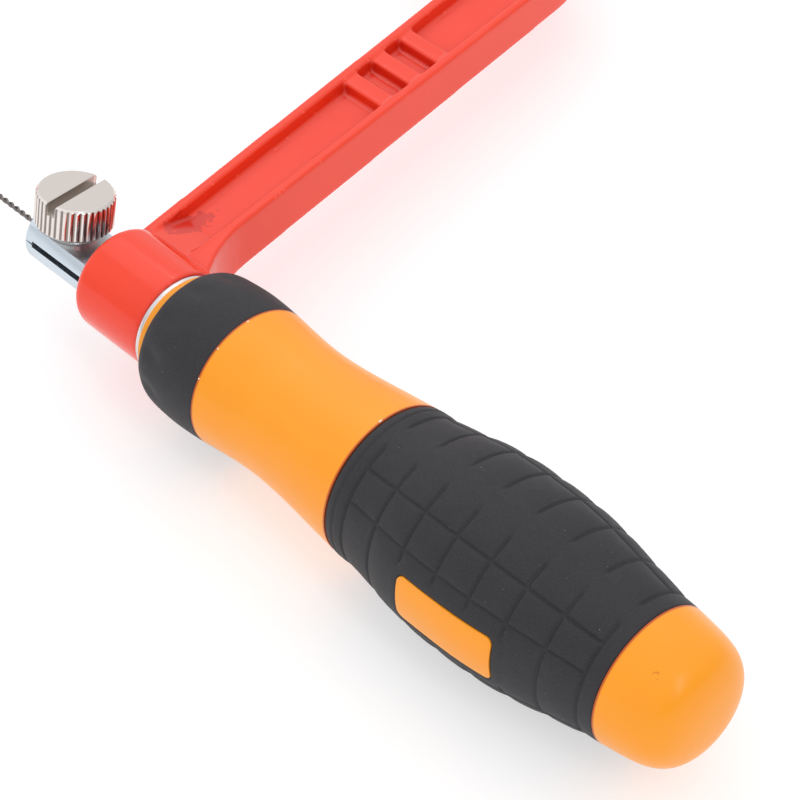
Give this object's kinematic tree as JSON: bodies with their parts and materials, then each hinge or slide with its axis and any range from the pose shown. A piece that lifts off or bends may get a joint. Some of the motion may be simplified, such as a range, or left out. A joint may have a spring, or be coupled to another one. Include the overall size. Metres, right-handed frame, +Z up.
{
  "type": "hacksaw",
  "caption": "Small deep-throat saw with a cast U frame, a tensioned twisted wire blade held in slotted studs by thumbscrews, and a soft-grip handle that turns to tension it.",
  "frame": {"origin": "under the middle of the saw's outline, on the surface that it lies on", "axes": "+X along the wire and the handle, towards the handle's butt; +Y from the wire towards the back of the frame; +Z up, the side that the thumbscrews are driven from, with the saw lying on its side"},
  "size_m": [0.3474, 0.15, 0.032],
  "materials": {
    "frame_paint": "gloss red paint on cast aluminium, fine orange peel",
    "zinc_steel": "bright zinc plate, satin",
    "nickel_steel": "nickel plate, satin top and bright flutes",
    "bright_steel": "bright plated washer steel",
    "wire_steel": "twisted dark steel wire",
    "core_plastic": "smooth orange moulded plastic",
    "soft_black": "matte black soft moulding",
    "insert_steel": "plain steel"
  },
  "bodies": {
    "frame": {"frame": "frame_paint", "thrust_washer": "bright_steel", "saw_wire": "wire_steel", "front_clamp_stud": "zinc_steel", "front_lock_washer": "bright_steel", "front_cap_nut": "bright_steel"},
    "handle": {"handle_core": "core_plastic", "handle_insert": "insert_steel", "handle_collar": "soft_black", "handle_grip": "soft_black"},
    "rear_clamp": {"rear_clamp_stud": "zinc_steel"},
    "rear_washer": {"rear_screw_washer": "nickel_steel"},
    "rear_screw": {"rear_thumbscrew": "nickel_steel"},
    "front_washer": {"front_screw_washer": "nickel_steel"},
    "front_screw": {"front_thumbscrew": "nickel_steel"}
  },
  "joints": [
    {"name": "handle_turn", "type": "hinge", "parent": "frame", "child": "handle", "pos_m": [0.05595, -0.059, 0.016], "axis": [1, 0, 0], "range_deg": [0, 1800]},
    {"name": "rear_clamp_slide", "type": "slide", "parent": "frame", "child": "rear_clamp", "axis": [-1, 0, 0], "range_m": [0, 0.0051]},
    {"name": "rear_screw_rise", "type": "slide", "parent": "rear_clamp", "child": "rear_washer", "axis": [0, 0.1702, 0.9854], "range_m": [0, 0.00165]},
    {"name": "rear_screw_turn", "type": "hinge", "parent": "rear_washer", "child": "rear_screw", "pos_m": [0.02815, -0.059, 0.016], "axis": [0, 0.1702, 0.9854], "range_deg": [0, 720]},
    {"name": "front_screw_rise", "type": "slide", "parent": "frame", "child": "front_washer", "axis": [0, 0.1702, 0.9854], "range_m": [0, 0.00165]},
    {"name": "front_screw_turn", "type": "hinge", "parent": "front_washer", "child": "front_screw", "pos_m": [-0.13485, -0.059, 0.016], "axis": [0, 0.1702, 0.9854], "range_deg": [0, 720]}
  ],
  "couplings": [
    {"joint": "rear_clamp_slide", "follows": "handle_turn", "m_per_rad": 0.00015915},
    {"joint": "rear_screw_rise", "follows": "rear_screw_turn", "m_per_rad": 0.00012732},
    {"joint": "front_screw_rise", "follows": "front_screw_turn", "m_per_rad": 0.00012732}
  ]
}
